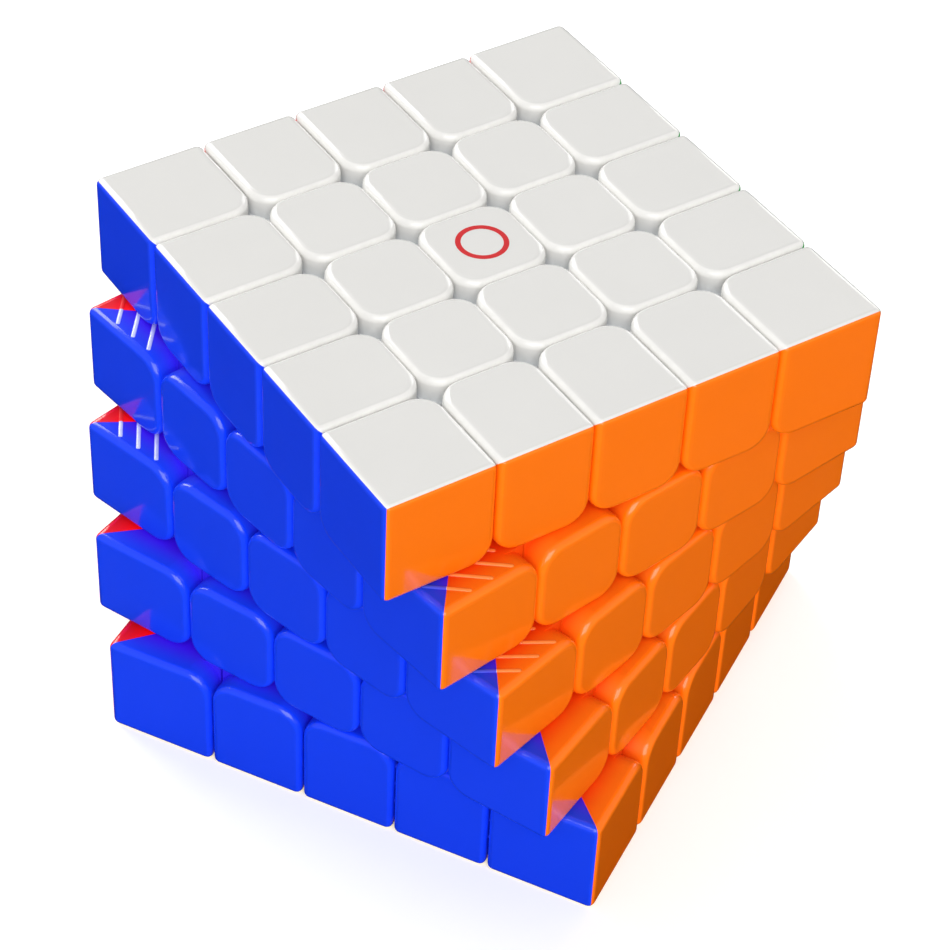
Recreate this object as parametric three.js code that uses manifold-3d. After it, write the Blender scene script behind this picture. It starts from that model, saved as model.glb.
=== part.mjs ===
// A twisty puzzle cube with five layers along every axis, its layers fanned out about the vertical axis.
// Units are millimetres, +Z is up, and the origin is at the middle of the bottom face.
//
// Every piece is what is left of the cube between the cuts that part the layers. Each cut is a surface
// of revolution about the axis that its layers turn on: flat at the rim, where it shows, and a cone from
// there in to the core, so that the feet of the pieces lock under each other as the layers turn.
import * as THREE from "three";
import { mergeVertices } from "three/addons/utils/BufferGeometryUtils.js";
import Module from "manifold-3d";

const wasm = await Module();
wasm.setup();

// The whole cube
const CUBE_EDGE = 61;
const OUTER_LAYER = 13.1; // thickness of a face layer; the three slices between share the rest
const LAYER_TWIST = 8; // degrees that each layer is turned on from the one above it
const GAP = 0.3; // running gap between any two pieces

// The cuts and the faces
const RIM_WIDTH = 2.5; // depth from the faces at which a cut turns from flat to conical
const SLICE_FOOT = 0.6; // thickness of a slice where it meets the core
const FACE_CORNER_RADIUS = 3; // rounding of a face's corners where four pieces meet
const SEAM_DEPTH = 2.5; // depth of those rounded corners, and of the seams between joined pieces

// The core and what is screwed to it
const CORE_RADIUS = 10.9;
const CORE_PLAY = 0.6; // between the core's ball and the feet that slide on it
const ARM_RADIUS = 3;
const ARM_LENGTH = 2.1; // beyond the core's ball
const SEAT_THICKNESS = 2.5; // floor of a fixed centre, between the arm and the spring
const POCKET_RADIUS = 3.2;
const CAP_THICKNESS = 3;
const CAP_PLUG_LENGTH = 1.5;
const SHANK_RADIUS = 1.25;
const SCREW_TIP = 6; // from the middle of the core
const HEAD_RADIUS = 2.5;
const HEAD_HEIGHT = 1.6;
const HEAD_CLEARANCE = 0.5; // under the cap's plug
const SLOT_WIDTH = 0.8;
const SLOT_DEPTH = 0.8;
const SPRING_RADIUS = 2.4; // to the middle of the wire
const SPRING_WIRE_RADIUS = 0.35;
const SPRING_PITCH = 2;

// Facets of round shapes
const CUT_SIDES = 24;
const BALL_SIDES = 16;
const ROUND_SIDES = 12;
const FACE_CORNER_STEPS = 2;
const WIRE_SIDES = 5;
const WIRE_STEPS_PER_TURN = 6;

// What follows from them, measured from the middle of the cube
const HALF_EDGE = CUBE_EDGE / 2;
const OUTER_CUT = HALF_EDGE - OUTER_LAYER;
const INNER_CUT = OUTER_CUT / 3;
const RIM_RADIUS = HALF_EDGE - RIM_WIDTH;
const BORE_RADIUS = CORE_RADIUS + CORE_PLAY;
const INNER_FOOT = ARM_RADIUS + GAP + GAP / 2;
const OUTER_FOOT = INNER_FOOT + SLICE_FOOT;
const FOOT_RADIUS = Math.sqrt(BORE_RADIUS ** 2 - INNER_FOOT ** 2);
const BEYOND = CUBE_EDGE; // far enough to pass outside the cube
const ARM_REACH = CORE_RADIUS + ARM_LENGTH;
const SEAT_BOTTOM = ARM_REACH + GAP;
const POCKET_FLOOR = SEAT_BOTTOM + SEAT_THICKNESS;
const CAP_BOTTOM = HALF_EDGE - CAP_THICKNESS;
const SEAT_TOP = CAP_BOTTOM - GAP;
const PLUG_BOTTOM = SEAT_TOP - CAP_PLUG_LENGTH;
const HEAD_TOP = PLUG_BOTTOM - HEAD_CLEARANCE;
const HEAD_BOTTOM = HEAD_TOP - HEAD_HEIGHT;

const COLOURS = {
  top: 0xe6e5e1,
  bottom: 0xf2d21c,
  right: 0x18a54a,
  back: 0xd0202a,
  left: 0x1f5fd0,
  front: 0xf47a1e,
};
const CORE_COLOUR = 0xd9d8d3;
const STEEL_COLOUR = 0xb4b7bb;

// ---- From geometry to solid and back ----

function solidOf(geometry) {
  const positions = geometry.getAttribute("position");
  const bare = new THREE.BufferGeometry().setAttribute("position", positions).setIndex(geometry.index);
  const merged = mergeVertices(bare, 1e-4);
  const corners = merged.index.array;
  const triVerts = [];
  for (let i = 0; i < corners.length; i += 3) {
    const [a, b, c] = corners.slice(i, i + 3);
    // A ring of a lathe that lies on its axis closes to a point and leaves triangles with no area.
    if (a !== b && b !== c && c !== a) triVerts.push(a, b, c);
  }
  const vertProperties = merged.getAttribute("position").array;
  const mesh = new wasm.Mesh({ numProp: 3, vertProperties, triVerts: new Uint32Array(triVerts) });
  return new wasm.Manifold(mesh);
}

function geometryOf(solid) {
  const { vertProperties, triVerts } = solid.getMesh();
  const faceted = new THREE.BufferGeometry()
    .setAttribute("position", new THREE.BufferAttribute(vertProperties, 3))
    .setIndex(new THREE.BufferAttribute(triVerts, 1))
    .toNonIndexed();
  faceted.computeVertexNormals();
  return faceted;
}

function slab(edge, bottom, top) {
  return new THREE.BoxGeometry(edge, edge, top - bottom).translate(0, 0, (bottom + top) / 2);
}

function rod(radius, bottom, top) {
  const upright = new THREE.CylinderGeometry(radius, radius, top - bottom, ROUND_SIDES).rotateX(Math.PI / 2);
  return upright.translate(0, 0, (bottom + top) / 2);
}

function turned(profile, sides) {
  const points = profile.map(([radius, height]) => new THREE.Vector2(radius, height));
  return new THREE.LatheGeometry(points, sides).rotateX(Math.PI / 2);
}

function ball(radius) {
  return new THREE.SphereGeometry(radius, BALL_SIDES, BALL_SIDES / 2);
}

// How something that points along +Z is turned to point at each side of the cube.
const QUARTER = Math.PI / 2;
const FACING = {
  top: [0, 0, 0],
  bottom: [2 * QUARTER, 0, 0],
  right: [0, QUARTER, 0],
  back: [-QUARTER, 0, 0],
  left: [0, -QUARTER, 0],
  front: [QUARTER, 0, 0],
};

function facing(side, geometry) {
  const [x, y] = FACING[side];
  return solidOf(geometry.rotateX(x).rotateY(y));
}

// ---- The cuts between the layers ----

// Layers and cuts are counted along +X, +Y and +Z: cut n lies between layer n and layer n + 1.
const ENDS = { x: ["left", "right"], y: ["front", "back"], z: ["bottom", "top"] };

// All that lies beyond one cut, drawn back from it by play.
function beyondCut(axis, n, play) {
  const outer = n === 1 || n === 4;
  const [cut, foot] = outer ? [OUTER_CUT, OUTER_FOOT] : [INNER_CUT, INNER_FOOT];
  const slope = (cut - foot) / (RIM_RADIUS - FOOT_RADIUS);
  const lean = Math.hypot(1, slope);
  const profile = [
    [0, cut - slope * RIM_RADIUS + play * lean],
    [RIM_RADIUS - (play * slope) / (lean + 1), cut + play],
    [BEYOND, cut + play],
    [BEYOND, BEYOND],
    [0, BEYOND],
  ];
  return facing(ENDS[axis][n < 3 ? 0 : 1], turned(profile, CUT_SIDES));
}

// What a solid has in layers first to last along one axis, drawn back by play at both cuts.
function inLayers(solid, axis, [first, last], play = GAP / 2) {
  const lower = first - 1;
  let kept = solid;
  if (lower >= 3) kept = kept.intersect(beyondCut(axis, lower, play));
  if (lower === 1 || lower === 2) kept = kept.subtract(beyondCut(axis, lower, -play));
  if (last <= 2) kept = kept.intersect(beyondCut(axis, last, play));
  if (last === 3 || last === 4) kept = kept.subtract(beyondCut(axis, last, -play));
  return kept;
}

// ---- Rounded face corners and seams ----

// The hole between the four rounded face corners where two cuts cross.
function cornerHoleShape() {
  const centre = FACE_CORNER_RADIUS + GAP / 2;
  const points = [];
  for (let quarter = 0; quarter < 4; quarter++) {
    for (let step = 0; step <= FACE_CORNER_STEPS; step++) {
      const angle = (3 - step / FACE_CORNER_STEPS) * QUARTER;
      const point = new THREE.Vector2(Math.cos(angle), Math.sin(angle));
      point.multiplyScalar(FACE_CORNER_RADIUS).addScalar(centre);
      points.push(point.rotateAround(new THREE.Vector2(), quarter * QUARTER));
    }
  }
  return new THREE.Shape(points);
}

function cornerHoles(side) {
  const places = [-OUTER_CUT, -INNER_CUT, INNER_CUT, OUTER_CUT];
  const crossings = places.flatMap((x) => places.map((y) => [x, y]));
  return crossings
    .map(([x, y]) => {
      const depth = 2 * SEAM_DEPTH;
      const hole = new THREE.ExtrudeGeometry(cornerHoleShape(), { depth, bevelEnabled: false });
      return facing(side, hole.translate(x, y, HALF_EDGE - SEAM_DEPTH));
    })
    .reduce((all, hole) => all.add(hole));
}

// The seam that marks a cut all round the cube where the pieces on its two sides are joined underneath.
function seam(axis, place) {
  const sheet = (thickness, edge) => {
    const across = new THREE.BoxGeometry(thickness, edge, edge).translate(place, 0, 0);
    return solidOf(axis === "y" ? across.rotateZ(QUARTER) : across);
  };
  return sheet(GAP, 2 * BEYOND).subtract(sheet(2 * GAP, CUBE_EDGE - 2 * SEAM_DEPTH));
}

// ---- The pieces, each made once, on the sides towards +X, +Y and +Z ----

const hollowCube = solidOf(slab(CUBE_EDGE, -HALF_EDGE, HALF_EDGE)).subtract(solidOf(ball(BORE_RADIUS)));

function piece({ x, y, z, faces, seams = [] }) {
  const block = inLayers(inLayers(inLayers(hollowCube, "x", x), "y", y), "z", z);
  const rounded = faces.reduce((solid, side) => solid.subtract(cornerHoles(side)), block);
  return seams.reduce((solid, [axis, place]) => solid.subtract(seam(axis, place)), rounded);
}

const innerSeams = (axis) => [
  [axis, -INNER_CUT],
  [axis, INNER_CUT],
];

function corner() {
  return piece({ x: [5, 5], y: [5, 5], z: [5, 5], faces: ["right", "back", "top"] });
}

// A wing, a middle edge and a wing, side by side along one edge of the cube.
function edgeBar() {
  const seams = innerSeams("x");
  return piece({ x: [2, 4], y: [5, 5], z: [5, 5], faces: ["back", "top"], seams });
}

// The eight centre pieces around a fixed centre.
function centreRing() {
  const seams = [...innerSeams("x"), ...innerSeams("y")];
  const square = piece({ x: [2, 4], y: [2, 4], z: [5, 5], faces: ["top"], seams });
  const upper = solidOf(slab(2 * BEYOND, 0, BEYOND));
  const column = inLayers(inLayers(upper, "x", [3, 3], -GAP / 2), "y", [3, 3], -GAP / 2);
  return square.subtract(column);
}

function sliceWing() {
  return piece({ x: [5, 5], y: [5, 5], z: [4, 4], faces: ["right", "back"] });
}

// The three centre pieces between two wings of a slice.
function sliceBar() {
  return piece({ x: [2, 4], y: [5, 5], z: [4, 4], faces: ["back"], seams: innerSeams("x") });
}

// The middle edge of the middle slice and the centre piece on each side of it.
function middleBracket() {
  const seams = [
    ["x", OUTER_CUT],
    ["y", OUTER_CUT],
  ];
  return piece({ x: [4, 5], y: [4, 5], z: [3, 3], faces: ["right", "back"], seams });
}

function fixedCentre(pocketTop) {
  const column = piece({ x: [3, 3], y: [3, 3], z: [5, 5], faces: ["top"] });
  const footed = column.subtract(solidOf(slab(2 * BEYOND, 0, SEAT_BOTTOM)));
  const drilled = footed.subtract(solidOf(rod(SHANK_RADIUS + GAP, 0, POCKET_FLOOR + GAP)));
  return drilled.subtract(solidOf(rod(POCKET_RADIUS, POCKET_FLOOR, pocketTop)));
}

// A fixed centre whose cap lifts off to bare the tension screw.
function openCentre() {
  return fixedCentre(BEYOND).subtract(solidOf(slab(2 * BEYOND, SEAT_TOP, BEYOND)));
}

function cap() {
  const column = piece({ x: [3, 3], y: [3, 3], z: [5, 5], faces: ["top"] });
  const plate = column.subtract(solidOf(slab(2 * BEYOND, 0, CAP_BOTTOM)));
  return plate.add(solidOf(rod(POCKET_RADIUS - GAP, PLUG_BOTTOM, CAP_BOTTOM + GAP)));
}

// A fixed centre with its cap in place.
function closedCentre() {
  return fixedCentre(PLUG_BOTTOM);
}

function core() {
  const sides = Object.keys(FACING);
  const armed = sides.reduce(
    (solid, side) => solid.add(facing(side, rod(ARM_RADIUS, 0, ARM_REACH))),
    solidOf(ball(CORE_RADIUS)),
  );
  return sides.reduce(
    (solid, side) => solid.subtract(facing(side, rod(SHANK_RADIUS + GAP, SCREW_TIP - GAP, BEYOND))),
    armed,
  );
}

function screw() {
  const profile = [
    [0, SCREW_TIP],
    [SHANK_RADIUS, SCREW_TIP],
    [SHANK_RADIUS, HEAD_BOTTOM],
    [HEAD_RADIUS, HEAD_BOTTOM],
    [HEAD_RADIUS, HEAD_TOP],
    [0, HEAD_TOP],
  ];
  const slot = (width, depth) =>
    solidOf(new THREE.BoxGeometry(width, depth, 2 * SLOT_DEPTH).translate(0, 0, HEAD_TOP));
  const cross = slot(SLOT_WIDTH, HEAD_RADIUS).add(slot(HEAD_RADIUS, SLOT_WIDTH));
  return solidOf(turned(profile, ROUND_SIDES)).subtract(cross);
}

class Coil extends THREE.Curve {
  constructor(radius, bottom, top, pitch) {
    super();
    Object.assign(this, { radius, bottom, top, turns: (top - bottom) / pitch });
  }

  getPoint(t, target = new THREE.Vector3()) {
    const angle = 2 * Math.PI * this.turns * t;
    const height = this.bottom + (this.top - this.bottom) * t;
    return target.set(this.radius * Math.cos(angle), this.radius * Math.sin(angle), height);
  }
}

function spring() {
  const end = GAP + SPRING_WIRE_RADIUS;
  const coil = new Coil(SPRING_RADIUS, POCKET_FLOOR + end, HEAD_BOTTOM - end, SPRING_PITCH);
  const section = new THREE.Shape().absarc(0, 0, SPRING_WIRE_RADIUS, 0, 2 * Math.PI);
  const wire = new THREE.Shape(section.getPoints(WIRE_SIDES).slice(0, WIRE_SIDES));
  const steps = Math.ceil(coil.turns * WIRE_STEPS_PER_TURN);
  return solidOf(new THREE.ExtrudeGeometry(wire, { steps, extrudePath: coil, bevelEnabled: false }));
}

// ---- The assembly ----

// Places a quarter turn apart, in the order that turning a piece about +Z brings it to them.
const CORNERS = ["back_right", "back_left", "front_left", "front_right"];
const SIDES = ["back", "left", "front", "right"];

const PLASTIC = { roughness: 0.25, metalness: 0 };
const STEEL = { roughness: 0.35, metalness: 1 };

function add(group, name, geometry, color, finish) {
  const mesh = new THREE.Mesh(geometry, new THREE.MeshStandardMaterial({ color, ...finish }));
  mesh.name = name;
  group.add(mesh);
  return mesh;
}

function addAround(group, name, places, solid, colours) {
  const geometry = geometryOf(solid);
  places.forEach((place, quarter) => {
    const mesh = add(group, `${name}_${place}`, geometry, colours[quarter], PLASTIC);
    mesh.rotation.z = quarter * QUARTER;
  });
}

function addFacing(group, name, sides, solid, colours, finish) {
  const geometry = geometryOf(solid);
  for (const side of sides) {
    add(group, `${name}_${side}`, geometry, colours[side] ?? colours, finish).rotation.set(...FACING[side]);
  }
}

// A group for one layer, turned by a number of twists from the middle slice. The layers below the
// middle slice mirror the ones above it.
function layer(cube, twists) {
  const group = new THREE.Group();
  group.rotation.z = THREE.MathUtils.degToRad(twists * LAYER_TWIST);
  group.scale.z = twists > 0 ? -1 : 1;
  cube.add(group);
  return group;
}

const cube = new THREE.Group();
cube.position.z = HALF_EDGE;

for (const [face, twists] of Object.entries({ top: -2, bottom: 2 })) {
  const group = layer(cube, twists);
  const colours = Array(4).fill(COLOURS[face]);
  addAround(group, `${face}_corner`, CORNERS, corner(), colours);
  addAround(group, `${face}_edges`, SIDES, edgeBar(), colours);
  add(group, `${face}_centres`, geometryOf(centreRing()), COLOURS[face], PLASTIC);
  add(group, `${face}_fixed_centre`, geometryOf(openCentre()), COLOURS[face], PLASTIC);
  add(group, `${face}_cap`, geometryOf(cap()), COLOURS[face], PLASTIC);
}

const sideColours = SIDES.map((side) => COLOURS[side]);

for (const [slice, twists] of Object.entries({ upper: -1, lower: 1 })) {
  const group = layer(cube, twists);
  addAround(group, `${slice}_wing`, CORNERS, sliceWing(), sideColours);
  addAround(group, `${slice}_centres`, SIDES, sliceBar(), sideColours);
}

const middle = layer(cube, 0);
addAround(middle, "middle_edge", CORNERS, middleBracket(), sideColours);
addFacing(middle, "middle_centre", SIDES, closedCentre(), COLOURS, PLASTIC);
add(middle, "core", geometryOf(core()), CORE_COLOUR, PLASTIC);
addFacing(middle, "screw", Object.keys(FACING), screw(), STEEL_COLOUR, STEEL);
addFacing(middle, "spring", Object.keys(FACING), spring(), STEEL_COLOUR, STEEL);

export default cube;
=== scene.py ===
from math import atan2, pi, radians, sqrt

import bmesh
import bpy
from mathutils import Matrix, Vector


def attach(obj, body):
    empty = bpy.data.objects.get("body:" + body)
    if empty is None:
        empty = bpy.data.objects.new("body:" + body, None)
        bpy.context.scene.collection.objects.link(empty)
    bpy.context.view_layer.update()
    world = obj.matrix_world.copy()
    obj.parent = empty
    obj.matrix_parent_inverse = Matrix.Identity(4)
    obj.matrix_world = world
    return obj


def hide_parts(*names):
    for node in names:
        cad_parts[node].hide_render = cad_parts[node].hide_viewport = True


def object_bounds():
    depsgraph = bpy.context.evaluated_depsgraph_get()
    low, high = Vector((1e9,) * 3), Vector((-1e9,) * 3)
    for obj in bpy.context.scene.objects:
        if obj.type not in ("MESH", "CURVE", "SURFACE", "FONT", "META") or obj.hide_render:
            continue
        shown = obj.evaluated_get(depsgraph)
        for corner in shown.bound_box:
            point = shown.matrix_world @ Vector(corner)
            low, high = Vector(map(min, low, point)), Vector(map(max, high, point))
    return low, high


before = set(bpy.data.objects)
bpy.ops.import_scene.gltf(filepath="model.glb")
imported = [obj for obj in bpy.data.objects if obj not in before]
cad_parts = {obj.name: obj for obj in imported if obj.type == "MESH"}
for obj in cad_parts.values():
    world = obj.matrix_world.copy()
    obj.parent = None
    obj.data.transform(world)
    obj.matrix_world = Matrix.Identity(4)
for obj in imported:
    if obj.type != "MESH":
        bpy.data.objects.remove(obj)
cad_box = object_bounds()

scene = bpy.context.scene

# ---- The viewpoint ----
# The cube stands on a table and is looked down on from beyond its front left corner, from about a
# third of a metre away, through a long lens, so that its upright edges stay nearly parallel.
VIEWPOINT = (-0.1954, -0.1619, 0.2587)
VIEW_TURN = (radians(47.62), radians(-2.16), radians(-48.5))
FOCAL_LENGTH = 114.2  # millimetres, on a sensor of full width
bpy.ops.object.camera_add(location=VIEWPOINT, rotation=VIEW_TURN)
camera = bpy.context.object
camera.name = "viewpoint"
camera.data.lens = FOCAL_LENGTH
camera.data.sensor_width = 36
camera.data.clip_start = 0.01
scene.camera = camera
scene.view_settings.view_transform = "Standard"

# ---- The table and the light ----
# A sheet of matt white card lies under the cube. A big soft box stands beyond the nearest corner,
# a weaker one far out on the right side, and one behind draws the soft edges. A white room does the
# rest.
CARD_SIZE = 6
CARD_CELLS = 8
CARD_WHITE = (0.95, 0.95, 0.95, 1)
CARD_LIFT = 0.3  # how much of its white the card gives off by itself under the cube
SWEEP_START = 0.15  # metres from the middle, from where the card fades to plain white
SWEEP_END = 0.9
ROOM_LIGHT = 0.41
HORIZON = 0.08  # half the height over which the room turns from white to dark
SOFT_BOXES = {  # place, edge in metres, watts
    "behind": ((0.2, 1.03, 0.66), 0.7, 8.5),
    "key": ((-0.9, -0.82, 0.95), 1.3, 17.3),
    "fill": ((1.15, 0.25, 0.55), 0.6, 3.2),
}


def node_of(tree, kind, x, y, **values):
    """Adds a shader node at a place on the sheet and fills in its fields and open sockets."""
    node = tree.nodes.new(kind)
    node.location = (x, y)
    for field, value in values.items():
        socket = node.inputs.get(field.replace("_", " ").title())
        if hasattr(node, field):
            setattr(node, field, value)
        elif socket:
            socket.default_value = value
    return node


def rgba(sockets):
    """The colour sockets among a node's inputs or outputs."""
    return [socket for socket in sockets if socket.type == "RGBA"]


bpy.ops.object.select_all(action="DESELECT")
bpy.ops.mesh.primitive_grid_add(
    x_subdivisions=CARD_CELLS, y_subdivisions=CARD_CELLS, size=CARD_SIZE
)
card = bpy.context.object
card.name = "white_card"
card.visible_glossy = False
card_white = bpy.data.materials.new("card_white")
card_white.use_nodes = True
shader = card_white.node_tree.nodes["Principled BSDF"]
shader.inputs["Base Color"].default_value = CARD_WHITE
shader.inputs["Roughness"].default_value = 0.9
shader.inputs["Specular IOR Level"].default_value = 0.1
tree = card_white.node_tree
far_out = node_of(tree, "ShaderNodeVectorMath", -800, 0, operation="LENGTH")
sweep = node_of(tree, "ShaderNodeMapRange", -600, 0, interpolation_type="SMOOTHSTEP")
sweep.inputs["From Min"].default_value = SWEEP_START
sweep.inputs["From Max"].default_value = SWEEP_END
sweep.inputs["To Min"].default_value = CARD_LIFT
seen = node_of(tree, "ShaderNodeLightPath", -600, 300)
bright = node_of(tree, "ShaderNodeMath", -300, 0, operation="MULTIPLY")
tree.links.new(node_of(tree, "ShaderNodeTexCoord", -1000, 0).outputs["Object"], far_out.inputs[0])
tree.links.new(far_out.outputs["Value"], sweep.inputs["Value"])
tree.links.new(sweep.outputs["Result"], bright.inputs[0])
tree.links.new(seen.outputs["Is Camera Ray"], bright.inputs[1])
glare = node_of(tree, "ShaderNodeMix", -150, -200, data_type="RGBA")
rgba(glare.inputs)[0].default_value = (0, 0, 0, 1)
rgba(glare.inputs)[1].default_value = CARD_WHITE
tree.links.new(bright.outputs["Value"], glare.inputs["Factor"])
tree.links.new(rgba(glare.outputs)[0], shader.inputs["Emission Color"])
shader.inputs["Emission Strength"].default_value = 1
card.data.materials.append(card_white)

for name, (place, edge, watts) in SOFT_BOXES.items():
    aim = (-Vector(place)).to_track_quat("-Z", "Y").to_euler()
    bpy.ops.object.light_add(type="AREA", location=place, rotation=aim)
    box = bpy.context.object
    box.name = f"soft_box_{name}"
    box.data.shape = "SQUARE"
    box.data.size = edge
    box.data.energy = watts

# The room is white down to the table and dark below it, and its far wall shows plain white.
room = bpy.data.worlds.new("white_room")
room.use_nodes = True
scene.world = room
tree = room.node_tree
light = tree.nodes["Background"]
wall = node_of(tree, "ShaderNodeBackground", 0, -200)
seen = node_of(tree, "ShaderNodeLightPath", 0, 400)
either = node_of(tree, "ShaderNodeMixShader", 300, 100)
height = node_of(tree, "ShaderNodeSeparateXYZ", -600, 0)
above = node_of(tree, "ShaderNodeMapRange", -300, 0)
above.inputs["From Min"].default_value = -HORIZON
above.inputs["From Max"].default_value = HORIZON
above.inputs["To Max"].default_value = ROOM_LIGHT
tree.links.new(node_of(tree, "ShaderNodeTexCoord", -900, 0).outputs["Generated"], height.inputs[0])
tree.links.new(height.outputs["Z"], above.inputs["Value"])
tree.links.new(above.outputs["Result"], light.inputs["Strength"])
light.inputs["Color"].default_value = (1, 1, 1, 1)
wall.inputs["Color"].default_value = (1, 1, 1, 1)
tree.links.new(seen.outputs["Is Camera Ray"], either.inputs["Fac"])
tree.links.new(light.outputs["Background"], either.inputs[1])
tree.links.new(wall.outputs["Background"], either.inputs[2])
tree.links.new(either.outputs["Shader"], tree.nodes["World Output"].inputs["Surface"])

# ---- The core ----
# A ball with six arms in pale nylon, moulded in one piece, that all the rest is screwed to. Its
# skin is matt from the spark-worn tool, and its arms are drilled for the screws.
CORE_NYLON = (0.7, 0.69, 0.65, 1)


def new_group(name, inputs, outputs):
    """Starts a shader group with named sockets, each given as its kind and its first value."""
    group = bpy.data.node_groups.new(name, "ShaderNodeTree")
    for socket, (kind, value) in inputs.items():
        made = group.interface.new_socket(socket, in_out="INPUT", socket_type=f"NodeSocket{kind}")
        if value is not None:
            made.default_value = value
    for socket, kind in outputs.items():
        group.interface.new_socket(socket, in_out="OUTPUT", socket_type=f"NodeSocket{kind}")
    start = node_of(group, "NodeGroupInput", -600, 0)
    end = node_of(group, "NodeGroupOutput", 600, 0)
    return group, start, end


# Cloudy differences in a colour, as moulded plastic has from the flow of the melt.
melt, start, end = new_group(
    "melt_colour",
    {"Color": ("Color", (0.8, 0.8, 0.8, 1)), "Place": ("Vector", None), "Size": ("Float", 90.0),
     "Spread": ("Float", 0.05)},
    {"Color": "Color"},
)
clouds = node_of(melt, "ShaderNodeTexNoise", -380, -80, detail=3.0, roughness=0.55)
spread = node_of(melt, "ShaderNodeMath", -160, -80, operation="MULTIPLY_ADD")
middle = node_of(melt, "ShaderNodeMath", -380, -300, operation="MULTIPLY_ADD")
middle.inputs[1].default_value = -0.5
middle.inputs[2].default_value = 1.0
shade = node_of(melt, "ShaderNodeHueSaturation", 160, 40)
melt.links.new(start.outputs["Place"], clouds.inputs["Vector"])
melt.links.new(start.outputs["Size"], clouds.inputs["Scale"])
melt.links.new(start.outputs["Spread"], middle.inputs[0])
melt.links.new(clouds.outputs["Fac"], spread.inputs[0])
melt.links.new(start.outputs["Spread"], spread.inputs[1])
melt.links.new(middle.outputs["Value"], spread.inputs[2])
melt.links.new(start.outputs["Color"], shade.inputs["Color"])
melt.links.new(spread.outputs["Value"], shade.inputs["Value"])
melt.links.new(shade.outputs["Color"], end.inputs["Color"])

# The grain that a spark-worn or polished tool leaves on what is moulded in it, as a height.
grain, start, end = new_group(
    "tool_grain",
    {"Place": ("Vector", None), "Size": ("Float", 4000.0), "Waviness": ("Float", 0.4)},
    {"Height": "Float"},
)
pits = node_of(grain, "ShaderNodeTexNoise", -380, 80, detail=4.0, roughness=0.6)
waves = node_of(grain, "ShaderNodeTexNoise", -380, -180, scale=420.0, detail=1.0, roughness=0.4)
both = node_of(grain, "ShaderNodeMath", 120, 0, operation="MULTIPLY_ADD")
grain.links.new(start.outputs["Place"], pits.inputs["Vector"])
grain.links.new(start.outputs["Size"], pits.inputs["Scale"])
grain.links.new(start.outputs["Place"], waves.inputs["Vector"])
grain.links.new(waves.outputs["Fac"], both.inputs[0])
grain.links.new(start.outputs["Waviness"], both.inputs[1])
grain.links.new(pits.outputs["Fac"], both.inputs[2])
grain.links.new(both.outputs["Value"], end.inputs["Height"])

# Finger smudges and hair-fine scratches, as a roughness.
marks, start, end = new_group(
    "handling_marks",
    {"Place": ("Vector", None), "Roughness": ("Float", 0.25), "Smudging": ("Float", 0.06),
     "Scratching": ("Float", 0.04)},
    {"Roughness": "Float"},
)
smudges = node_of(marks, "ShaderNodeTexNoise", -380, 160, scale=130.0, detail=5.0, roughness=0.65)
streaks = node_of(marks, "ShaderNodeMapping", -560, -220)
streaks.inputs["Rotation"].default_value = (0.4, 0.7, 0.5)
streaks.inputs["Scale"].default_value = (60, 4200, 900)
hairs = node_of(marks, "ShaderNodeTexNoise", -380, -220, scale=1.0, detail=2.0, roughness=0.7)
fine = node_of(marks, "ShaderNodeMapRange", -160, -220)
fine.inputs["From Min"].default_value = 0.62
fine.inputs["From Max"].default_value = 0.72
dull = node_of(marks, "ShaderNodeMath", 60, 160, operation="MULTIPLY_ADD")
scuffed = node_of(marks, "ShaderNodeMath", 300, 0, operation="MULTIPLY_ADD")
marks.links.new(start.outputs["Place"], smudges.inputs["Vector"])
marks.links.new(start.outputs["Place"], streaks.inputs["Vector"])
marks.links.new(streaks.outputs["Vector"], hairs.inputs["Vector"])
marks.links.new(hairs.outputs["Fac"], fine.inputs["Value"])
marks.links.new(smudges.outputs["Fac"], dull.inputs[0])
marks.links.new(start.outputs["Smudging"], dull.inputs[1])
marks.links.new(start.outputs["Roughness"], dull.inputs[2])
marks.links.new(fine.outputs["Result"], scuffed.inputs[0])
marks.links.new(start.outputs["Scratching"], scuffed.inputs[1])
marks.links.new(dull.outputs["Value"], scuffed.inputs[2])
marks.links.new(scuffed.outputs["Value"], end.inputs["Roughness"])


def placed_group(tree, group, x, y, **values):
    """Sets a shader group on a material's sheet, with its own values."""
    node = node_of(tree, "ShaderNodeGroup", x, y)
    node.node_tree = group
    for socket, value in values.items():
        node.inputs[socket].default_value = value
    return node


def moulded(name, colour, roughness, spread, grain_size, grain_depth):
    """A moulded plastic: cloudy colour, handled roughness and the grain of its tool."""
    material = bpy.data.materials.new(name)
    material.use_nodes = True
    material.diffuse_color = colour
    tree = material.node_tree
    shader = tree.nodes["Principled BSDF"]
    place = node_of(tree, "ShaderNodeTexCoord", -1000, 0).outputs["Object"]
    tint = placed_group(tree, melt, -500, 200, Color=colour, Spread=spread)
    rough = placed_group(tree, marks, -500, -40, Roughness=roughness)
    skin = placed_group(tree, grain, -700, -300, Size=grain_size)
    bump = node_of(tree, "ShaderNodeBump", -300, -300, strength=0.25, distance=grain_depth)
    for group in (tint, rough, skin):
        tree.links.new(place, group.inputs["Place"])
    tree.links.new(tint.outputs["Color"], shader.inputs["Base Color"])
    tree.links.new(rough.outputs["Roughness"], shader.inputs["Roughness"])
    tree.links.new(skin.outputs["Height"], bump.inputs["Height"])
    tree.links.new(bump.outputs["Normal"], shader.inputs["Normal"])
    return material


core_nylon = moulded(
    "core_nylon", CORE_NYLON, roughness=0.5, spread=0.1, grain_size=2600.0, grain_depth=0.00004
)
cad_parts["core"].data.materials.clear()
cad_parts["core"].data.materials.append(core_nylon)

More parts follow.
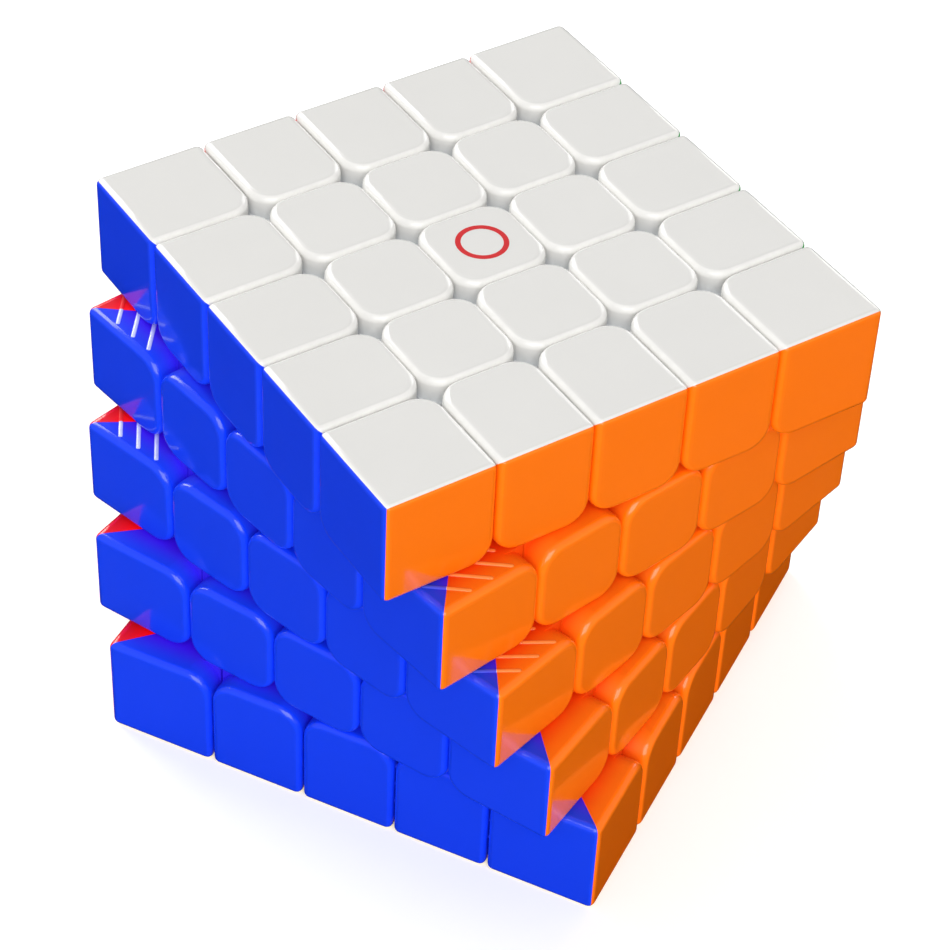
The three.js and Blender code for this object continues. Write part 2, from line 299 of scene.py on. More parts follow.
# ---- The tension screws and springs ----
# A zinc-plated pan screw goes through the foot of each fixed centre into an arm of the core, and a
# spring of drawn wire under its head lets the centre give a few tenths of a millimetre.
SCREW_ZINC = (0.56, 0.57, 0.58, 1)
SPRING_WIRE = (0.5, 0.51, 0.53, 1)


def steel(name, colour, roughness, line_stretch):
    """A steel with the fine lines of turning or drawing."""
    material = bpy.data.materials.new(name)
    material.use_nodes = True
    material.diffuse_color = colour
    tree = material.node_tree
    shader = tree.nodes["Principled BSDF"]
    shader.inputs["Metallic"].default_value = 1
    place = node_of(tree, "ShaderNodeTexCoord", -1200, 0).outputs["Object"]
    stretch = node_of(tree, "ShaderNodeMapping", -950, -300)
    stretch.inputs["Scale"].default_value = line_stretch
    tint = placed_group(tree, melt, -500, 200, Color=colour, Size=600.0, Spread=0.12)
    rough = placed_group(tree, marks, -500, -40, Roughness=roughness, Smudging=0.12)
    lines = placed_group(tree, grain, -700, -300, Size=9000.0)
    bump = node_of(tree, "ShaderNodeBump", -300, -300, strength=0.2, distance=0.00003)
    tree.links.new(place, tint.inputs["Place"])
    tree.links.new(place, rough.inputs["Place"])
    tree.links.new(place, stretch.inputs["Vector"])
    tree.links.new(stretch.outputs["Vector"], lines.inputs["Place"])
    tree.links.new(tint.outputs["Color"], shader.inputs["Base Color"])
    tree.links.new(rough.outputs["Roughness"], shader.inputs["Roughness"])
    tree.links.new(lines.outputs["Height"], bump.inputs["Height"])
    tree.links.new(bump.outputs["Normal"], shader.inputs["Normal"])
    return material


zinc = steel("screw_zinc", SCREW_ZINC, roughness=0.28, line_stretch=(1, 1, 0.1))
wire = steel("spring_wire", SPRING_WIRE, roughness=0.22, line_stretch=(0.3, 0.3, 1))
for side in ("top", "bottom", "right", "back", "left", "front"):
    for fitting, finish in (("screw", zinc), ("spring", wire)):
        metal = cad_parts[f"{fitting}_{side}"].data.materials
        metal.clear()
        metal.append(finish)

# ---- The caps of the fixed centres ----
# A square lid in glossy coloured plastic closes each fixed centre over its screw, held by a round
# plug. It is the whole visible face of the centre, 3 mm thick with soft edges and rounded corners.
HALF_CUBE = (cad_box[1].z - cad_box[0].z) / 2
OUTER_LAYER = 0.0131
OUTER_CUT = HALF_CUBE - OUTER_LAYER  # the planes between the layers, from the middle of the cube
INNER_CUT = OUTER_CUT / 3
PLAY = 0.00005  # that each side of a piece stands back from the plane it shares with the next
CORNER_ROUND = 0.003  # where four pieces meet in a face
CORNER_SEGMENTS = 7
SOFT_EDGE = 0.0008  # round the faces
EDGE_SEGMENTS = 5
FLAT_MARGIN = 0.00005  # of the narrow loop inside each flat
SMALLEST_FLAT = 0.000003  # square metres
CORNER_HOLE_DEPTH = 0.0029
CAP_THICKNESS = 0.003
CAP_BOTTOM = HALF_CUBE - CAP_THICKNESS
PLUG_LENGTH = 0.0018
PLUG_RADIUS = 0.0029
WELD_OVERLAP = 0.0001
JUST_INSIDE = 0.0001  # the faces, for the place that stands for a piece
NO_LENGTH = 1e-6  # below which two places are one
NO_FACE = 1.0  # stands for the distance to a face that a piece doesn't have
SHADING_ANGLE = radians(32)

# The way each side faces, its colour, the colour painted deep between the pieces as the light and
# shade there (darker and deeper for the coloured sides, paler and cooler for white), the paler
# colour painted on its rib crests as a highlight, and how strong a glow is painted between them.
SIDES = {
    "top": (
        Vector((0, 0, 1)),
        (0.735, 0.726, 0.703, 1), (0.90, 0.93, 0.96, 1), (1, 1, 1, 1), 0.02,
    ),
    "bottom": (
        Vector((0, 0, -1)),
        (0.93, 0.64, 0.008, 1), (0.93, 0.46, 0.003, 1), (1, 0.9, 0.4, 1), 0.1,
    ),
    "right": (
        Vector((1, 0, 0)),
        (0.008, 0.36, 0.06, 1), (0.002, 0.27, 0.04, 1), (0.4, 0.85, 0.5, 1), 0.1,
    ),
    "back": (
        Vector((0, 1, 0)),
        (0.90, 0.003, 0.008, 1), (1, 0.001, 0.001, 1), (1, 0.4, 0.3, 1), 0.35,
    ),
    "left": (
        Vector((-1, 0, 0)),
        (0.006, 0.050, 0.84, 1), (0.06, 0.006, 0.80, 1), (0.8, 0.84, 1, 1), 0.08,
    ),
    "front": (
        Vector((0, -1, 0)),
        (0.98, 0.182, 0.003, 1), (0.86, 0.048, 0, 1), (1, 0.31, 0.06, 1), 0.06,
    ),
}

# How far below the faces a point of a piece lies: the smallest of its distances to the planes of
# its faces, as a band over the soft edges, as the flanks beyond them, and as a share of the way in
# to the painted recess colour and glow. Each ramp rises between two depths in metres.
DEPTH_RAMPS = {"edge": (0.00002, 0.00012), "flank": (0.00065, 0.001), "deep": (0.0007, 0.0042)}
depths, start, end = new_group(
    "depth_below_faces",
    {"From Faces": ("Vector", None)},
    {"Rim": "Float", "Deep": "Float", "Flank": "Float"},
)
apart = node_of(depths, "ShaderNodeSeparateXYZ", -420, 0)
nearer = node_of(depths, "ShaderNodeMath", -220, 60, operation="MINIMUM")
nearest = node_of(depths, "ShaderNodeMath", -40, 0, operation="MINIMUM")
depths.links.new(start.outputs["From Faces"], apart.inputs[0])
depths.links.new(apart.outputs["X"], nearer.inputs[0])
depths.links.new(apart.outputs["Y"], nearer.inputs[1])
depths.links.new(nearer.outputs["Value"], nearest.inputs[0])
depths.links.new(apart.outputs["Z"], nearest.inputs[1])
ramps = {}
for name, (ramp_from, ramp_to) in DEPTH_RAMPS.items():
    ramp = node_of(
        depths, "ShaderNodeMapRange", 160, -220 * len(ramps), interpolation_type="SMOOTHSTEP"
    )
    ramp.inputs["From Min"].default_value = ramp_from
    ramp.inputs["From Max"].default_value = ramp_to
    depths.links.new(nearest.outputs["Value"], ramp.inputs["Value"])
    ramps[name] = ramp.outputs["Result"]
band = node_of(depths, "ShaderNodeMath", 400, 0, operation="SUBTRACT")
depths.links.new(ramps["edge"], band.inputs[0])
depths.links.new(ramps["flank"], band.inputs[1])
depths.links.new(band.outputs["Value"], end.inputs["Rim"])
depths.links.new(ramps["flank"], end.inputs["Flank"])
depths.links.new(ramps["deep"], end.inputs["Deep"])

# Painted highlights: over the soft edges the colour is painted a little paler and patchy, as their
# highlight, and the crests of the ribs are painted paler still, towards their crest colour, as
# theirs.
rims, start, end = new_group(
    "rim_and_crest_highlight",
    {"Color": ("Color", (0.8, 0.8, 0.8, 1)), "Rim": ("Float", 0.0), "Crest_Highlight": ("Float", 0.0),
     "Place": ("Vector", None), "Paling": ("Float", 0.2), "Crests": ("Color", (1, 1, 1, 1))},
    {"Color": "Color"},
)
patches = node_of(rims, "ShaderNodeTexNoise", -380, -160, scale=700.0, detail=3.0, roughness=0.6)
even = node_of(rims, "ShaderNodeMapRange", -160, -160)
even.inputs["From Min"].default_value = 0.3
even.inputs["From Max"].default_value = 0.7
even.inputs["To Min"].default_value = 0.7
# The soft edges are painted paler, as a painted highlight.
rim_highlight_node = node_of(rims, "ShaderNodeMath", 40, -100, operation="MULTIPLY")
amount = node_of(rims, "ShaderNodeMath", 220, -100, operation="MULTIPLY")
lift = node_of(rims, "ShaderNodeMath", 220, -280, operation="ADD")
lift.inputs[1].default_value = 1.0
pale = node_of(rims, "ShaderNodeHueSaturation", 400, 60)
rims.links.new(start.outputs["Place"], patches.inputs["Vector"])
rims.links.new(patches.outputs["Fac"], even.inputs["Value"])
rims.links.new(even.outputs["Result"], rim_highlight_node.inputs[0])
rims.links.new(start.outputs["Rim"], rim_highlight_node.inputs[1])
rims.links.new(rim_highlight_node.outputs["Value"], amount.inputs[0])
rims.links.new(start.outputs["Paling"], amount.inputs[1])
rims.links.new(amount.outputs["Value"], lift.inputs[0])
rims.links.new(start.outputs["Color"], pale.inputs["Color"])
rims.links.new(lift.outputs["Value"], pale.inputs["Value"])
# The crests are painted towards their crest colour, as a painted highlight.
rubbed_and_highlit = node_of(rims, "ShaderNodeMath", 220, -440, operation="MULTIPLY")
whitened = node_of(rims, "ShaderNodeMix", 800, 60, data_type="RGBA")
rims.links.new(start.outputs["Crest_Highlight"], rubbed_and_highlit.inputs[0])
rims.links.new(even.outputs["Result"], rubbed_and_highlit.inputs[1])
rims.links.new(rubbed_and_highlit.outputs["Value"], whitened.inputs["Factor"])
rims.links.new(pale.outputs["Color"], rgba(whitened.inputs)[0])
rims.links.new(start.outputs["Crests"], rgba(whitened.inputs)[1])
rims.links.new(rgba(whitened.outputs)[0], end.inputs["Color"])

# The faces are polished and the flanks between the pieces are left matt. Deep between the pieces a
# glow is painted in as emission, in place of light. Rubbed crests are polished again.
FLANK_MATTNESS = 0.3
POLISH = 0.7
RIM_HIGHLIGHT_PALING = 0.22
plastics = {}
for side, (_, colour, painted_recess_colour, crest_highlight_colour, painted_glow) in SIDES.items():
    plastic = moulded(
        f"{side}_plastic", colour, roughness=0.16, spread=0.05, grain_size=3800.0,
        grain_depth=0.000012,
    )
    tree = plastic.node_tree
    shader = tree.nodes["Principled BSDF"]
    shader.inputs["Coat Roughness"].default_value = 0.08
    shader.inputs["Specular IOR Level"].default_value = 0.25
    from_faces = node_of(tree, "ShaderNodeAttribute", -900, 460, attribute_name="from_faces")
    depth = placed_group(tree, depths, -700, 460)
    rubbed_and_highlit = node_of(tree, "ShaderNodeAttribute", -900, 700, attribute_name="rubbed_and_highlit")
    # Paints the soft edges paler and the rib crests towards their crest colour, as painted
    # highlights.
    rim_highlight_node = placed_group(tree, rims, -200, 360, Paling=RIM_HIGHLIGHT_PALING, Crests=crest_highlight_colour)
    tint = shader.inputs["Base Color"].links[0].from_node
    # Deep between the pieces the colour is painted over towards the recess colour, as painted shade
    # (painted light for white).
    recess_paint_mix = node_of(tree, "ShaderNodeMix", -700, 240, data_type="RGBA")
    face_colour_input, painted_recess_input = rgba(recess_paint_mix.inputs)
    face_colour_input.default_value = colour
    painted_recess_input.default_value = painted_recess_colour
    tree.links.new(from_faces.outputs["Vector"], depth.inputs["From Faces"])
    tree.links.new(depth.outputs["Deep"], recess_paint_mix.inputs["Factor"])
    tree.links.new(rgba(recess_paint_mix.outputs)[0], tint.inputs["Color"])
    tree.links.new(rubbed_and_highlit.outputs["Fac"], rim_highlight_node.inputs["Crest_Highlight"])
    tree.links.new(tint.inputs["Place"].links[0].from_socket, rim_highlight_node.inputs["Place"])
    tree.links.new(tint.outputs["Color"], rim_highlight_node.inputs["Color"])
    tree.links.new(depth.outputs["Rim"], rim_highlight_node.inputs["Rim"])
    tree.links.new(rim_highlight_node.outputs["Color"], shader.inputs["Base Color"])
    rough = shader.inputs["Roughness"].links[0].from_socket
    rubbed_off = node_of(tree, "ShaderNodeMath", -460, 640, operation="MULTIPLY_ADD")
    rubbed_off.inputs[1].default_value = -1.0
    rubbed_off.inputs[2].default_value = 1.0
    unpolished = node_of(tree, "ShaderNodeMath", -260, 640, operation="MULTIPLY")
    tree.links.new(rubbed_and_highlit.outputs["Fac"], rubbed_off.inputs[0])
    tree.links.new(rubbed_off.outputs["Value"], unpolished.inputs[0])
    tree.links.new(depth.outputs["Flank"], unpolished.inputs[1])
    matt = node_of(tree, "ShaderNodeMath", -200, 120, operation="MULTIPLY_ADD")
    matt.inputs[1].default_value = FLANK_MATTNESS
    tree.links.new(unpolished.outputs["Value"], matt.inputs[0])
    tree.links.new(rough, matt.inputs[2])
    tree.links.new(matt.outputs["Value"], shader.inputs["Roughness"])
    shine = node_of(tree, "ShaderNodeMath", -200, -60, operation="MULTIPLY_ADD")
    shine.inputs[1].default_value = -POLISH
    shine.inputs[2].default_value = POLISH
    tree.links.new(unpolished.outputs["Value"], shine.inputs[0])
    tree.links.new(shine.outputs["Value"], shader.inputs["Coat Weight"])
    # A glow painted deep between the pieces as emission, in the piece's own tint.
    painted_glow_amount = node_of(tree, "ShaderNodeMath", -400, -420, operation="MULTIPLY")
    painted_glow_amount.inputs[1].default_value = painted_glow
    painted_glow_colour = node_of(tree, "ShaderNodeMix", -200, -420, data_type="RGBA")
    rgba(painted_glow_colour.inputs)[0].default_value = (0, 0, 0, 1)
    tree.links.new(depth.outputs["Deep"], painted_glow_amount.inputs[0])
    tree.links.new(painted_glow_amount.outputs["Value"], painted_glow_colour.inputs["Factor"])
    tree.links.new(tint.outputs["Color"], rgba(painted_glow_colour.inputs)[1])
    tree.links.new(rgba(painted_glow_colour.outputs)[0], shader.inputs["Emission Color"])
    shader.inputs["Emission Strength"].default_value = 1
    plastics[side] = plastic


def new_block(name, low, high):
    """A block between two corners, alone in the selection, with its size and place in its mesh."""
    bpy.ops.object.select_all(action="DESELECT")
    low, high = Vector(low), Vector(high)
    bpy.ops.mesh.primitive_cube_add(size=1, location=(low + high) / 2, scale=high - low)
    bpy.ops.object.transform_apply(location=True, rotation=True, scale=True)
    block = bpy.context.object
    block.name = name
    return block


def new_rod(name, radius, bottom, top):
    """An upright cylinder in the middle, between two heights."""
    bpy.ops.object.select_all(action="DESELECT")
    bpy.ops.mesh.primitive_cylinder_add(
        vertices=48, radius=radius, depth=top - bottom, location=(0, 0, (bottom + top) / 2)
    )
    bpy.ops.object.transform_apply(location=True, rotation=True, scale=True)
    rod = bpy.context.object
    rod.name = name
    return rod


def pick(kind, wanted):
    """In edit mode, selects only the edges or the faces that pass the test."""
    bpy.ops.mesh.select_mode(type=kind)
    bpy.ops.mesh.select_all(action="DESELECT")
    shape = bmesh.from_edit_mesh(bpy.context.object.data)
    shape.normal_update()
    for element in shape.edges if kind == "EDGE" else shape.faces:
        element.select_set(wanted(element))
    shape.select_flush_mode()
    bmesh.update_edit_mesh(bpy.context.object.data)


def lies_on(element, axis, place):
    """Whether an edge or a face lies wholly in a plane square to an axis."""
    return all(abs(v.co[axis] - place) < NO_LENGTH for v in element.verts)


def joined(piece, tool, operation="UNION"):
    """Welds a second shape to a piece, or cuts it out of it."""
    bpy.ops.object.select_all(action="DESELECT")
    piece.select_set(True)
    bpy.context.view_layer.objects.active = piece
    weld = piece.modifiers.new("weld", "BOOLEAN")
    weld.operation = operation
    weld.solver = "EXACT"
    weld.object = tool
    bpy.ops.object.modifier_apply(modifier=weld.name)
    bpy.data.objects.remove(tool)


def soften(faces):
    """Rounds the corners where four pieces meet and the edges of the outer faces of a block."""
    bpy.ops.object.mode_set(mode="EDIT")

    def meets_others(edge):
        ends = [v.co for v in edge.verts]
        along = [a for a in range(3) if abs(ends[0][a] - ends[1][a]) > NO_LENGTH]
        if len(along) != 1 or along[0] not in faces:
            return False
        return not any(lies_on(edge, a, HALF_CUBE) for a in faces if a not in along)

    def is_flat(face):
        return max(map(abs, face.normal)) > 0.9999 and face.calc_area() > SMALLEST_FLAT

    pick("EDGE", meets_others)
    bpy.ops.mesh.bevel(offset=CORNER_ROUND - PLAY, segments=CORNER_SEGMENTS, affect="EDGES")
    pick("EDGE", lambda edge: any(lies_on(edge, a, HALF_CUBE) for a in faces))
    bpy.ops.mesh.bevel(offset=SOFT_EDGE, segments=EDGE_SEGMENTS, affect="EDGES")
    # A narrow loop inside each flat keeps its shading flat up to the soft edge.
    pick("FACE", is_flat)
    bpy.ops.mesh.inset(thickness=FLAT_MARGIN, use_individual=True)
    bpy.ops.object.mode_set(mode="OBJECT")


def split_colours(piece, faces, wear_and_highlight=lambda place: 0):
    """Parts a piece along the planes half way between its outer faces, one colour on each side,
    and marks how far each point is from its faces and how much it rubs on another piece, which
    sets its polish and how pale its crests are painted as a highlight."""
    bpy.ops.object.select_all(action="DESELECT")
    piece.select_set(True)
    bpy.context.view_layer.objects.active = piece
    for _ in range(len(faces) - len(piece.data.materials)):
        piece.data.materials.append(None)
    bpy.ops.object.mode_set(mode="EDIT")
    for a in faces:
        for b in faces:
            if a < b:
                bpy.ops.mesh.select_all(action="SELECT")
                across = Vector((0, 0, 0))
                across[a], across[b] = 1, -1
                bpy.ops.mesh.bisect(plane_co=(0, 0, 0), plane_no=across, threshold=1e-7)
    bpy.ops.mesh.select_all(action="SELECT")
    bpy.ops.mesh.remove_doubles(threshold=NO_LENGTH)
    bpy.ops.object.mode_set(mode="OBJECT")
    for face in piece.data.polygons:
        face.material_index = max(range(len(faces)), key=lambda i: face.center[faces[i]])
    from_faces = piece.data.attributes.new("from_faces", "FLOAT_VECTOR", "POINT")
    for vertex in piece.data.vertices:
        far = [HALF_CUBE - vertex.co[a] if a in faces else NO_FACE for a in range(3)]
        from_faces.data[vertex.index].vector = far
    # How much a point rubs on another piece: it sets the polish and the painted highlight of the
    # crests.
    rubbed_and_highlit = piece.data.attributes.new("rubbed_and_highlit", "FLOAT", "POINT")
    for vertex in piece.data.vertices:
        rubbed_and_highlit.data[vertex.index].value = wear_and_highlight(vertex.co)
    bpy.ops.object.shade_smooth_by_angle(angle=SHADING_ANGLE)


# The places that a piece can be turned to: each side of the cube, four ways round.
FACING = {
    "top": Matrix.Identity(4),
    "bottom": Matrix.Rotation(pi, 4, "X"),
    "right": Matrix.Rotation(pi / 2, 4, "Y"),
    "back": Matrix.Rotation(-pi / 2, 4, "X"),
    "left": Matrix.Rotation(-pi / 2, 4, "Y"),
    "front": Matrix.Rotation(pi / 2, 4, "X"),
}
# The layers from the top down, each with its lower cut, its CAD body, the word that its CAD nodes
# start with and the one of them at its back right corner.
LAYERS = (
    (OUTER_CUT, "top_layer", "top", "top_corner_back_right"),
    (INNER_CUT, "upper_slice", "upper", "upper_wing_back_right"),
    (-INNER_CUT, "middle_slice", "middle", "middle_edge_back_right"),
    (-OUTER_CUT, "lower_slice", "lower", "lower_wing_back_right"),
    (-HALF_CUBE, "bottom_layer", "bottom", "bottom_corner_back_right"),
)


def twist_of(corner_node):
    """How far a layer stands turned at rest, from the cube's upright edge on one of its pieces."""
    edge = max((v.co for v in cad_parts[corner_node].data.vertices), key=lambda p: p.xy.length)
    return atan2(edge.y, edge.x) - pi / 4


def leaning(place):
    """The sides of the cube that a place lies towards, and how far: top or bottom comes first, then
    back or front."""
    order = ("top", "bottom", "back", "front", "left", "right")
    found = {side: place.dot(SIDES[side][0]) for side in order}
    return {side: far for side, far in found.items() if far > NO_LENGTH}


def cad_node_at(layer, sides, near, is_cap):
    """The CAD node that stands for the piece at a place."""
    around = [s for s in ("back", "front", "left", "right") if s in sides]
    if layer in ("top", "bottom"):
        if len(sides) == 3:
            return f"{layer}_corner_{'_'.join(around)}"
        if len(sides) == 2:
            return f"{layer}_edges_{around[0]}"
        if near:
            return f"{layer}_centres"
        return f"{layer}_cap" if is_cap else f"{layer}_fixed_centre"
    if layer in ("upper", "lower"):
        if len(sides) == 2:
            return f"{layer}_wing_{'_'.join(around)}"
        return f"{layer}_centres_{around[0]}"
    if len(sides) == 2:
        return f"middle_edge_{'_'.join(around)}"
    if near:
        corner = [s for s in ("back", "front", "left", "right") if s in (*sides, *near)]
        return f"middle_edge_{'_'.join(corner)}"
    return f"middle_centre_{around[0]}"


def set_round_cube(master, kind, middle, faces, is_cap=False):
    """Copies a piece to every place that turning the cube brings it to, and turns each copy on
    with its layer."""
    taken = []
    for facing in FACING.values():
        for quarter in range(4):
            turn = facing @ Matrix.Rotation(quarter * pi / 2, 4, "Z")
            place = turn @ Vector(middle)
            if any((place - other).length < NO_LENGTH for other in taken):
                continue
            taken.append(place)
            lean = leaning(place)
            sides = [s for s in lean if lean[s] > OUTER_CUT]
            near = [s for s in lean if lean[s] <= OUTER_CUT]
            words = [kind, *sides, "near", *near] if near else [kind, *sides]
            body, layer, corner_node = next(row[1:] for row in LAYERS if place.z > row[0])
            piece = master.copy()
            piece.data = master.data.copy()
            piece.name = piece.data.name = "_".join(words)
            scene.collection.objects.link(piece)
            for slot, face in enumerate(faces):
                out = turn.to_3x3() @ Vector([float(a == face) for a in range(3)])
                side = max(SIDES, key=lambda s: SIDES[s][0].dot(out))
                piece.data.materials[slot] = plastics[side]
            twist = Matrix.Rotation(twist_of(corner_node), 4, "Z")
            piece.data.transform(Matrix.Translation((0, 0, HALF_CUBE)) @ twist @ turn)
            node = cad_node_at(layer, sides, near, is_cap)
            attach(piece, body)
            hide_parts(node)
    bpy.data.objects.remove(master)


UP = (2,)  # a centre shows one face, made facing up
low = Vector((PLAY - INNER_CUT, PLAY - INNER_CUT, CAP_BOTTOM))
high = Vector((INNER_CUT - PLAY, INNER_CUT - PLAY, HALF_CUBE))
cap = new_block("cap", low, high)
soften(UP)
joined(cap, new_block("flange", low, (high.x, high.y, HALF_CUBE - CORNER_HOLE_DEPTH)))
joined(cap, new_rod("plug", PLUG_RADIUS, CAP_BOTTOM - PLUG_LENGTH, CAP_BOTTOM + WELD_OVERLAP))
split_colours(cap, UP)
set_round_cube(cap, "cap", (0, 0, HALF_CUBE - JUST_INSIDE), UP, is_cap=True)

# ---- The mark on the top cap ----
# A thin plain ring, pad-printed in red ink a few hundredths of a millimetre thick, shows which
# centre is the top one.
RING_RADIUS = 0.0029
RING_WIDTH = 0.0006
RING_SIDES = 96
INK_THICKNESS = 0.00003
INK_RED = (0.60, 0.008, 0.012, 1)
bpy.ops.object.select_all(action="DESELECT")
bpy.ops.mesh.primitive_circle_add(
    vertices=RING_SIDES, radius=RING_RADIUS, fill_type="NGON", location=(0, 0, 2 * HALF_CUBE)
)
ring = bpy.context.object
ring.name = "ring_mark"
bpy.ops.object.transform_apply(location=True, rotation=True, scale=True)
bpy.ops.object.mode_set(mode="EDIT")
bpy.ops.mesh.select_mode(type="FACE")
bpy.ops.mesh.select_all(action="SELECT")
bpy.ops.mesh.inset(thickness=RING_WIDTH)
bpy.ops.mesh.delete(type="FACE")
bpy.ops.object.mode_set(mode="OBJECT")
layer_of_ink = ring.modifiers.new("layer_of_ink", "SOLIDIFY")
layer_of_ink.thickness = INK_THICKNESS
layer_of_ink.offset = 0.5
bpy.ops.object.modifier_apply(modifier=layer_of_ink.name)
ring_ink = moulded(
    "ring_ink", INK_RED, roughness=0.32, spread=0.3, grain_size=5200.0, grain_depth=0.00001
)
ring.data.materials.append(ring_ink)
bpy.ops.object.shade_smooth_by_angle(angle=SHADING_ANGLE)
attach(ring, "top_layer")

# ---- The fixed centres ----
# Six square blocks on a short round foot, bored from above for the screw and its spring. They turn
# on the arms of the core and never change places with each other.
FOOT_BOTTOM = 0.0133
POCKET_FLOOR = 0.0158
FOOT_RADIUS = 0.0048
POCKET_RADIUS = 0.0032
SHANK_HOLE_RADIUS = 0.0015
GAP_UNDER_CAP = 0.0003
RIM_BEVEL = 0.0003
FOOT_OVERLAP = 0.0005
DRILL_START = 0.01  # from the middle of the cube, below the foot
DRILL_OVERRUN = 0.001
low = Vector((PLAY - INNER_CUT, PLAY - INNER_CUT, OUTER_CUT + PLAY))
high = Vector((INNER_CUT - PLAY, INNER_CUT - PLAY, CAP_BOTTOM - GAP_UNDER_CAP))
fixed_centre = new_block("fixed_centre", low, high)
bpy.ops.object.mode_set(mode="EDIT")
pick("EDGE", lambda edge: lies_on(edge, 2, high.z))
bpy.ops.mesh.bevel(offset=RIM_BEVEL, segments=2, affect="EDGES")
bpy.ops.object.mode_set(mode="OBJECT")
foot = new_rod("foot", FOOT_RADIUS, FOOT_BOTTOM, low.z + FOOT_OVERLAP)
joined(fixed_centre, foot)
pocket = new_rod("pocket", POCKET_RADIUS, POCKET_FLOOR, HALF_CUBE)
joined(fixed_centre, pocket, "DIFFERENCE")
shank_hole = new_rod("shank_hole", SHANK_HOLE_RADIUS, DRILL_START, POCKET_FLOOR + DRILL_OVERRUN)
joined(fixed_centre, shank_hole, "DIFFERENCE")
split_colours(fixed_centre, UP)
set_round_cube(fixed_centre, "fixed_centre", (0, 0, HALF_CUBE - JUST_INSIDE), UP)

# ---- The other centres ----
# Each face has four diagonal centres and four side centres round the fixed one, moulded in the
# colour of the one square face they show. The stalks and feet that hold them are out of sight,
# and only the CAD part has them.
FLOOR_INSET = 0.00001  # from the flanks
PITCH = OUTER_CUT - INNER_CUT  # from each piece of a face to the next


def closed_below(piece, low, high, faces):
    """Fills the rounded corners behind the face, so that the holes in a face have a floor."""
    inner_low = low + Vector([FLOOR_INSET] * 3)
    inner_high = high - Vector([FLOOR_INSET] * 3)
    for a in faces:
        inner_high[a] = HALF_CUBE - CORNER_HOLE_DEPTH
    joined(piece, new_block("floor", inner_low, inner_high))


low = Vector((PLAY - INNER_CUT, PLAY - INNER_CUT, OUTER_CUT + PLAY))
high = Vector((INNER_CUT - PLAY, INNER_CUT - PLAY, HALF_CUBE))
centre = new_block("centre", low, high)
soften(UP)
closed_below(centre, low, high, UP)
split_colours(centre, UP)
for kind, x, y in (("diagonal_centre", PITCH, PITCH), ("side_centre", PITCH, 0)):
    moved = centre.copy()
    moved.data = centre.data.copy()
    moved.data.transform(Matrix.Translation((x, y, 0)))
    scene.collection.objects.link(moved)
    set_round_cube(moved, kind, (x, y, HALF_CUBE - JUST_INSIDE), UP)
bpy.data.objects.remove(centre)

# ---- The middle edges and the wings ----
# Two-coloured blocks, two shells of dyed plastic snapped together along the plane between their
# faces. Low ribs across the flanks keep them from sticking to the layer that slides over them; on
# the half that leads as the layer turns they are worn polished, and their crests are painted pale
# as a highlight.
RIB_RADIUS = 0.00034
RIB_HEIGHT = 0.00013
RIB_CREST = 0.00003  # above the flank, from where a rib rubs
RIB_SETBACK = 0.00013  # of a ribbed flank, to leave its ribs room
FIRST_RIB = 0.0055  # the two distances from the outer faces, added up
RIB_STEP = 0.00283
RIBS = 5
RIB_MARGIN = 0.0009  # from the ends of the ribs to the faces
RIB_REACH = 0.0102  # from a face to the far end of a long rib
RIB_SIDES = 20
RIB_END_ROUND = 0.8 * RIB_RADIUS
# The wear of a rib sets its polish and how pale its crest is painted, as a highlight.
LESS_WORN_AND_HIGHLIT = 0.08  # the half of a rib that trails, beside one for the half that leads
WEAR_AND_HIGHLIGHT_STEP = 0.0001  # in which the wear changes from one to the other
TWO_FACES = (1, 2)  # made at the back of the top


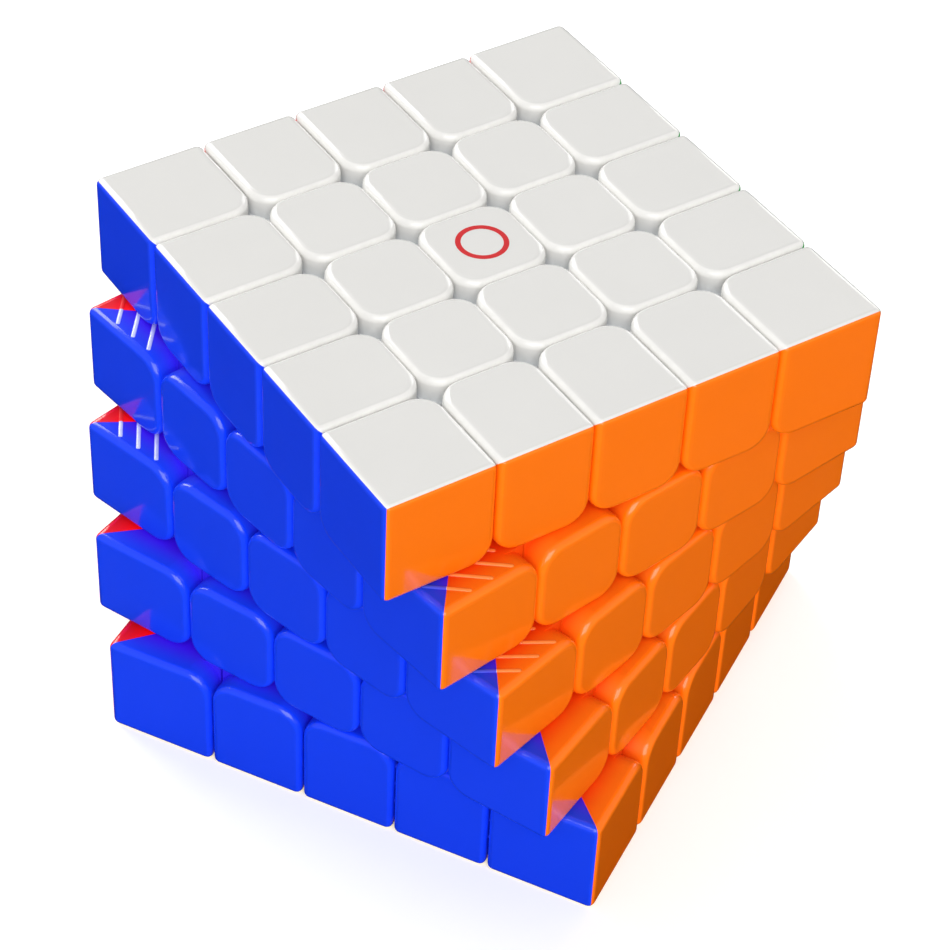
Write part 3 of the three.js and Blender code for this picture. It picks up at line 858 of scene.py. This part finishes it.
def add_ribs(piece, flank, out):
    """Lays ribs across a flank, square to its diagonal, and welds them on."""
    for i in range(RIBS):
        reach = FIRST_RIB + i * RIB_STEP
        end = min(RIB_REACH, reach - RIB_MARGIN)
        middle = HALF_CUBE - reach / 2
        sunk = flank - out * (RIB_RADIUS - RIB_HEIGHT)
        bpy.ops.object.select_all(action="DESELECT")
        bpy.ops.mesh.primitive_cylinder_add(
            vertices=RIB_SIDES, radius=RIB_RADIUS, depth=2 * sqrt(2) * (end - reach / 2),
            location=(sunk, middle, middle), rotation=(pi / 4, 0, 0),
        )
        rib = bpy.context.object
        bpy.ops.object.mode_set(mode="EDIT")
        pick("EDGE", lambda edge: abs(edge.verts[0].co.z - edge.verts[1].co.z) < NO_LENGTH)
        bpy.ops.mesh.bevel(offset=RIB_END_ROUND, segments=3, affect="EDGES")
        bpy.ops.mesh.select_all(action="SELECT")
        bpy.ops.mesh.bisect(plane_co=(0, out * WEAR_AND_HIGHLIGHT_STEP, 0), plane_no=(0, 1, -1), threshold=1e-7)
        bpy.ops.object.mode_set(mode="OBJECT")
        bpy.ops.object.transform_apply(location=True, rotation=True, scale=True)
        joined(piece, rib)


def rib_wear_and_highlight(place, flank, out):
    """How far a point of a ribbed flank is worn, which sets its polish and how pale its crest is
    painted as a highlight.
    """
    if (place.x - flank) * out < RIB_CREST:
        return 0
    return LESS_WORN_AND_HIGHLIT if (place.y - place.z) * out > WEAR_AND_HIGHLIGHT_STEP / 2 else 1


for kind, left, ribbed in (("middle_edge", -INNER_CUT, (-1, 1)), ("wing", INNER_CUT, (1,))):
    low = Vector((left + PLAY, OUTER_CUT + PLAY, OUTER_CUT + PLAY))
    high = Vector((left + PITCH - PLAY, HALF_CUBE, HALF_CUBE))
    if 1 in ribbed:
        high.x -= RIB_SETBACK
    if -1 in ribbed:
        low.x += RIB_SETBACK
    edge_piece = new_block(kind, low, high)
    soften(TWO_FACES)
    closed_below(edge_piece, low, high, TWO_FACES)
    flanks = [(high.x if out > 0 else low.x, out) for out in ribbed]
    for flank, out in flanks:
        add_ribs(edge_piece, flank, out)
    split_colours(
        edge_piece, TWO_FACES, lambda place: max(rib_wear_and_highlight(place, *flank) for flank in flanks)
    )
    middle = (left + PITCH / 2, HALF_CUBE - JUST_INSIDE, HALF_CUBE - JUST_INSIDE)
    set_round_cube(edge_piece, kind, middle, TWO_FACES)

# ---- The corners ----
# Three-coloured blocks, three shells of dyed plastic snapped together along the planes between
# their faces. Their flanks are smooth.
ALL_FACES = (0, 1, 2)
low = Vector([OUTER_CUT + PLAY] * 3)
high = Vector([HALF_CUBE] * 3)
corner = new_block("corner", low, high)
soften(ALL_FACES)
closed_below(corner, low, high, ALL_FACES)
split_colours(corner, ALL_FACES)
set_round_cube(corner, "corner", [HALF_CUBE - JUST_INSIDE] * 3, ALL_FACES)
